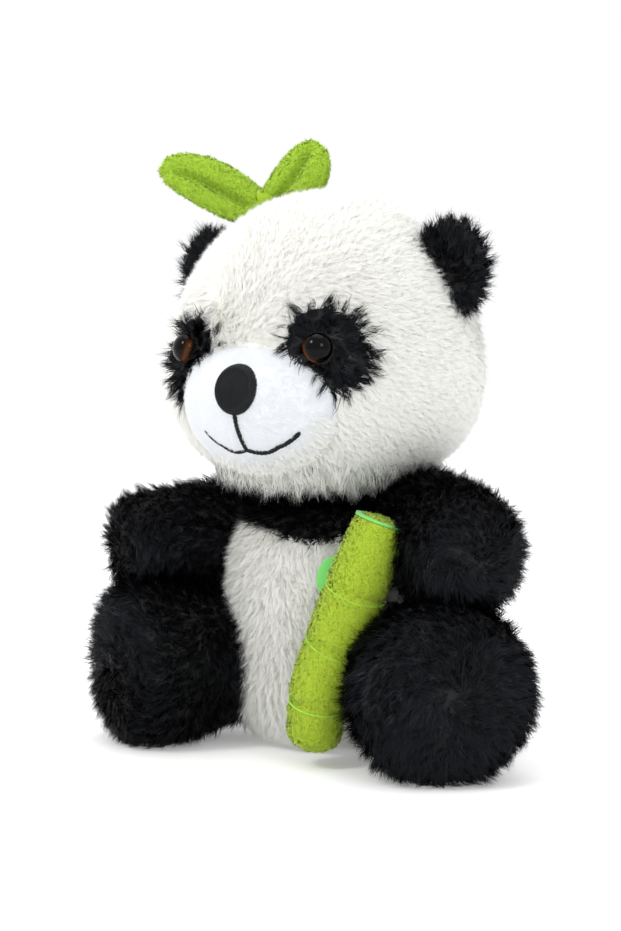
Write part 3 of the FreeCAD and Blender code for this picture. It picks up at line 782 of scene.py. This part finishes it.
def limbRings(limb, rows=70, columns=90):
    # round sections along a line: a half ball at the root, a swelling middle, and a flattened end
    root, end = np.array(limb["root"], float), np.array(limb["end"], float)
    way = unit(end - root)
    length = np.linalg.norm(end - root)
    t = np.linspace(0, 1, rows)
    rootPart, midPart, endPart = limbParts
    first = t < rootPart
    a = np.clip(t / rootPart, 0, 1) * math.pi / 2
    b = np.clip((t - rootPart) / midPart, 0, 1)
    c = np.clip((t - (rootPart + midPart)) / endPart, 0, 1) * (math.pi / 2 - 0.02)
    power = 2 / limb["fullness"]
    at = np.where(first, -limb["rootRadius"] * np.cos(a), length * b + limb["cap"] * np.sin(c) ** power)
    middleRadius = limb["rootRadius"] + (limb["endRadius"] - limb["rootRadius"]) * np.sin(b * math.pi / 2)
    radius = np.where(first, limb["rootRadius"] * np.sin(a) + 0.3, middleRadius * np.cos(c) ** power)
    middle = root + way * at[:, None]
    across = np.broadcast_to(unit(np.cross(way, up)), middle.shape)
    over = np.cross(across, way)
    tall = limb["rootTall"] + (limb["endTall"] - limb["rootTall"]) * np.clip(at / length, 0, 1)
    rings = pathRings(middle, across, over, radius, radius * tall, columns)
    if limb["floor"] is not None:
        rings[..., 2] = np.maximum(rings[..., 2], limb["floor"] + 0.6)
    return rings, way


def buildLimbs(rng):
    # fur runs along each limb, and swirls round its flattened end
    for name, limb in limbs.items():
        rings, way = limbRings(limb)
        side, kind = name.split("_")
        title = side + kind.capitalize()
        stands = (name + "_cover",) if kind == "arm" else (name + "_cover", side + "_sole_panel")
        makeForm(title + "Skin", rings, blackGround, name, stands)
        makeFilling(title + "Filling", rings, 0.88, name, (name + "_stuffing",))
        roots = scatter(rings, limbFur["density"], rng)
        places, normals = roots
        inTorso = np.hypot(places[:, 0], places[:, 1]) < limbFur["torsoRadius"]
        inTorso = inTorso & (places[:, 2] < limbFur["torsoTop"])
        under = (places[:, 2] < 1.5) & (normals[:, 2] < -0.8)
        roots = keep(roots, ~inTorso & ~under)
        places, normals = roots
        spread = unit(places - (np.array(limb["end"], float) + way * limb["cap"]))
        sole = np.clip((normals @ way)[:, None], 0, 1)
        swirl = spread + limbFur["swirl"] * np.cross(way, spread)
        flow = way * (1 - sole) + sole * swirl - limbFur["down"] * up
        flow = flow + wander(places, limbFur["wander"], 7.0, 2.1)
        look = dict(shag, floor=limb["floor"])
        makeFur(title + "Fur", roots, flow, look, rng, blackFur, name, limb["end"])


# both leaves start at one root; facing is the way that a leaf's grooved side looks
bow = {"root": (-25, -17, 224), "lift": 3.0, "groove": 0.8, "grooveAt": -1.5, "grooveHalf": 2.4,
       "density": 7.0,
       "right": {"tip": (-65, -37, 248), "halfWidth": 10.5, "halfThickness": 5.6,
                 "facing": (0.45, -0.85, 0.25)},
       "left": {"tip": (-7, -2, 255), "halfWidth": 11.2, "halfThickness": 5.4,
                "facing": (0.35, -0.9, 0.2)}}
fleece = {"length": 1.6, "width": 0.5, "lean": 68, "tuft": 1.3, "stray": 0.4, "pull": 0.7, "uneven": 0.3,
          "sweep": 0.0, "sag": 0.0, "wave": 0.1, "curl": 4.0, "roll": 0.15, "soft": 1.0, "steps": 2}


def leafRings(leaf, rows=60, columns=72):
    # pad along a line that arches as sin(pi s): its width holds for 0.45 of the length and then
    # falls as (1 - u^2.4)^0.45, and a groove, exp(-((x - at) / half)^2), is pressed along one side
    root, tip = np.array(bow["root"], float), np.array(leaf["tip"], float)
    s = np.linspace(0.01, 0.99, rows)
    way = unit(tip - root)
    face = np.array(leaf["facing"])
    face = unit(face - (face @ way) * way)
    across = np.cross(way, face)
    blunt = (1 - np.clip((s - 0.45) / 0.55, 0, 1) ** 2.4) ** 0.45
    wide = leaf["halfWidth"] * blunt * (0.8 + 0.2 * smooth(0, 0.5, s))
    deep = leaf["halfThickness"] * blunt * (0.8 + 0.2 * smooth(0, 0.4, s))
    lift = bow["lift"] * np.sin(math.pi * s) - 1.5 * s
    middle = root + (tip - root) * s[:, None] + across * lift[:, None] * 0.6
    rings = pathRings(middle, np.broadcast_to(across, middle.shape), np.broadcast_to(face, middle.shape),
                      wide, deep, columns)
    offset = rings - middle[:, None]
    x, y = offset @ across, offset @ face
    groove = bow["groove"] * np.exp(-((x - bow["grooveAt"]) / bow["grooveHalf"]) ** 2)
    groove = groove * smooth(0.05, 0.25, s)[:, None] * smooth(1, 0.8, s)[:, None]
    press = np.where(y > 0, y * groove, 0)
    return rings - face * press[..., None]


def buildLeaves(rng):
    # two padded leaves with the pile of fleece combed every way
    for name in ("right", "left"):
        rings = leafRings(bow[name])
        makeForm(name + "LeafSkin", rings, greenGround, "head", (name + "_leaf_cover",))
        makeFilling(name + "LeafWadding", rings, 0.3, "head", (name + "_leaf_wadding",))
        roots = scatter(rings, bow["density"], rng)
        flow = rng.normal(size=roots[0].shape)
        makeFur(name + "LeafNap", roots, flow, fleece, rng, leafNap, "head", bow["root"])


# joints are shares of the stalk's length; bulge and bend push it aside, low down and all along
bamboo = {"foot": (22, -57, 7), "head": (47, -46, 101), "radius": 9.8, "swell": 3.2, "deep": 0.94,
          "joints": (0.20, 0.44, 0.68), "pinch": 0.08, "pinchLong": 0.018, "slant": 0.22,
          "bulge": 2.8, "bulgeAt": 0.24, "bulgeLong": 0.20, "bend": 2.2, "density": 7.0,
          "thread": 0.45, "threadOut": 0.9, "rows": 160, "capRow": 155, "capThick": 1.0}
stalkSide = np.array([0.866, 0.5, 0])
stalkFront = np.array([0.5, -0.866, 0.0])
stalkLeaf = {"halfWide": 8.2, "halfTall": 9.8, "thick": 1.0, "bend": 0.012, "ripple": 0.4}


def bambooLine(s):
    # straight from foot to top, pushed aside by bulge exp(-((s - at) / long)^2) + bend sin(pi s)
    foot, top = np.array(bamboo["foot"], float), np.array(bamboo["head"], float)
    bulge = np.exp(-((s - bamboo["bulgeAt"]) / bamboo["bulgeLong"]) ** 2)
    slack = -bamboo["bulge"] * bulge - bamboo["bend"] * np.sin(math.pi * s)
    return foot + (top - foot) * s[:, None] + stalkSide * slack[:, None]


def bambooRadius(s):
    # radius + swell sin(pi s), drawn in at each joint j by pinch exp(-((s - j) / long)^2)
    drawnIn = sum(np.exp(-((s - j) / bamboo["pinchLong"]) ** 2) for j in bamboo["joints"])
    return (bamboo["radius"] + bamboo["swell"] * np.sin(math.pi * s)) * (1 - bamboo["pinch"] * drawnIn)


def bambooFrame(line):
    # the cross product of the line's direction with Y, and that product's with the direction
    tangent = unit(np.gradient(line, axis=0))
    across = unit(np.cross(tangent, np.array([0.0, 1.0, 0.0])))
    return across, np.cross(across, tangent)


def buildBamboo(rng):
    # ovals along the stalk's line, whose size falls at the two ends as a rounded cap's does
    s = np.linspace(0, 1, bamboo["rows"])
    line = bambooLine(s)
    across, over = bambooFrame(line)
    ends = np.sqrt(np.clip(1 - (1 - np.clip(s / 0.07, 0.02, 1)) ** 2, 0, 1))
    ends = ends * np.clip(1 - (1 - np.clip((1 - s) / 0.05, 0, 1)) ** 3, 0.02, 1) ** 0.5
    radius = bambooRadius(s) * ends
    rings = pathRings(line, across, over, radius, radius * bamboo["deep"], 72)
    makeForm("bambooSkin", rings, greenGround, "bamboo", ("bamboo_cover", "bamboo_bottom_cap"))
    makeFilling("bambooFilling", rings, 0.7, "bamboo", ("bamboo_stuffing",))
    roots = scatter(rings, bamboo["density"], rng)
    flow = rng.normal(size=roots[0].shape)
    makeFur("bambooNap", roots, flow, fleece, rng, stalkNap, "bamboo", (34, -52, 0))
    turn = np.linspace(0, 2 * math.pi, 121)
    way = unit(line[-1] - line[-20])
    for k, joint in enumerate(bamboo["joints"]):
        # one ring of thread in each drawn-in place, slanting down towards the front
        middle = bambooLine(np.full(len(turn), joint))
        spot = int(joint * (bamboo["rows"] - 1))
        size = bambooRadius(np.array([joint]))[0] + bamboo["threadOut"]
        ring = across[spot] * np.cos(turn)[:, None] + over[spot] * np.sin(turn)[:, None] * bamboo["deep"]
        ring = middle + ring * size
        ring = ring - way * ((ring - middle) @ stalkFront)[:, None] * bamboo["slant"]
        stands = ("bamboo_joint_stitches",) if k == 0 else ()
        makeForm(f"bambooJointThread_{k + 1}", threadTube(ring, bamboo["thread"]), mintThread, "bamboo",
                 stands)
    # mint end: a disc of felt under the fleece, set back so that its edge peeps out behind
    r, a = discGrid(16, 96)
    size = bamboo["radius"] + 0.9
    spot, thick = bamboo["capRow"], bamboo["capThick"]
    disc = (line[spot] - stalkFront * 1.0 + way * 1.0 + across[spot] * (size * r * np.cos(a))[..., None]
            + over[spot] * (size * r * np.sin(a) * 0.96)[..., None])
    cap = np.concatenate([disc + way * thick / 2, disc[::-1] - way * thick / 2])
    makeForm("bambooCap", cap, mintFelt, "bamboo", ("bamboo_top_cap",))


def buildStalkLeaf():
    # felt oval on the node's own place: across it bends back by bend x^2, and along it ripples as
    # sin(z / 4)
    low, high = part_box("bamboo_leaf")
    middle = np.array((low + high) / 2) * 1000
    facing = unit(stalkFront)
    r, a = discGrid(22, 72)
    x, z = stalkLeaf["halfWide"] * r * np.cos(a), stalkLeaf["halfTall"] * r * np.sin(a)
    bend = stalkLeaf["bend"] * (x - 4) ** 2 + stalkLeaf["ripple"] * np.sin(z / 4)
    half = stalkLeaf["thick"] / 2
    sheets = [middle + stalkSide * (x[..., None] - 2) + up * (z[..., None] - 2)
              + facing * (away - bend)[..., None] for away in (half, -half)]
    rings = np.concatenate([sheets[0], sheets[1][::-1]])
    piece = makeForm("stalkLeaf", rings, mintFelt, "bamboo", ("bamboo_leaf",))


# places and sizes in metres, and the camera's angle from the front in degrees
view = {"lens": 71.9, "sensor": 36.0, "angle": 30, "distance": 0.8, "height": 0.165,
        "target": (-0.0102, -0.0059, 0.118), "nearest": 0.05}
backdrop = {"dark": (0.90, 0.90, 0.90), "light": (0.93, 0.93, 0.93), "glow": 0.22, "sky": 1.0}
lamps = {"key": {"place": (-0.5, -1.3, 1.3), "size": 0.4, "power": 10, "color": (1.0, 0.99, 0.97)},
         "fill": {"place": (1.3, -0.9, 0.8), "size": 0.5, "power": 5, "color": (0.96, 0.98, 1.0)},
         "top": {"place": (0.0, 0.2, 1.6), "size": 1.2, "power": 6, "color": (1.0, 1.0, 1.0)}}


def turnTowards(thing, place, target):
    # put a camera or lamp at a place, looking at the target
    thing.location = place
    thing.rotation_euler = (Vector(target) - Vector(place)).to_track_quat("-Z", "Y").to_euler()
    bpy.context.scene.collection.objects.link(thing)


def buildStage():
    # camera, white floor and sky, and three soft lamps
    scene = bpy.context.scene
    camera = bpy.data.objects.new("camera", bpy.data.cameras.new("camera"))
    camera.data.lens, camera.data.sensor_width = view["lens"], view["sensor"]
    camera.data.clip_start = view["nearest"]
    angle = math.radians(view["angle"])
    place = (view["distance"] * math.sin(angle), -view["distance"] * math.cos(angle), view["height"])
    turnTowards(camera, place, view["target"])
    scene.camera = camera
    mesh = bpy.data.meshes.new("floor")
    mesh.from_pydata([(-9, -9, 0), (9, -9, 0), (9, 9, 0), (-9, 9, 0)], [], [(0, 1, 2, 3)])
    paint = Paint("paperFloor", {"Roughness": 1.0, "Specular IOR Level": 0.0,
                                 "Emission Color": (1, 1, 1, 1), "Emission Strength": backdrop["glow"]})
    paint.give("Base Color", paint.mix(paint.noise(3), backdrop["dark"], backdrop["light"]))
    mesh.materials.append(paint.material)
    floor = bpy.data.objects.new("floor", mesh)
    scene.collection.objects.link(floor)
    world = bpy.data.worlds.new("studio")
    world.use_nodes = True
    world.node_tree.nodes["Background"].inputs[0].default_value = (1.0, 1.0, 1.0, 1)
    world.node_tree.nodes["Background"].inputs[1].default_value = backdrop["sky"]
    scene.world = world
    scene.view_settings.view_transform = "Standard"
    for name, lamp in lamps.items():
        lampData = bpy.data.lights.new(name, "AREA")
        lampData.size, lampData.energy, lampData.color = lamp["size"], lamp["power"], lamp["color"]
        turnTowards(bpy.data.objects.new(name, lampData), lamp["place"], (0, 0, 0.1))
    print("camera, floor and lamps in place", flush=True)


def paintNodes(paint, *names):
    # a material for nodes of the design that are shown as they are
    for name in names:
        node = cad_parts[name]
        node.data.materials.clear()
        node.data.materials.append(paint.material)
    print(paint.material.name + " on " + ", ".join(names), flush=True)


buildHead(np.random.default_rng(11))
buildEars(np.random.default_rng(12))
buildMuzzle(np.random.default_rng(13))
buildNose()
buildMouth()
buildTorso(np.random.default_rng(14))
buildLimbs(np.random.default_rng(15))
buildLeaves(np.random.default_rng(16))
buildBamboo(np.random.default_rng(17))
buildStalkLeaf()
paintNodes(buildEyePaint(), "left_eye", "right_eye")
paintNodes(washerWhite, "left_eye_washer", "right_eye_washer")
paintNodes(greenGround, "leaf_tack_stitches")
paintNodes(greenThread, "bamboo_tack_stitches")
paintNodes(blackThread, "neck_stitching")
paintNodes(blackGround, "neck_wad")
paintNodes(filling, "torso_stuffing", "head_stuffing", "muzzle_stuffing")
buildStage()
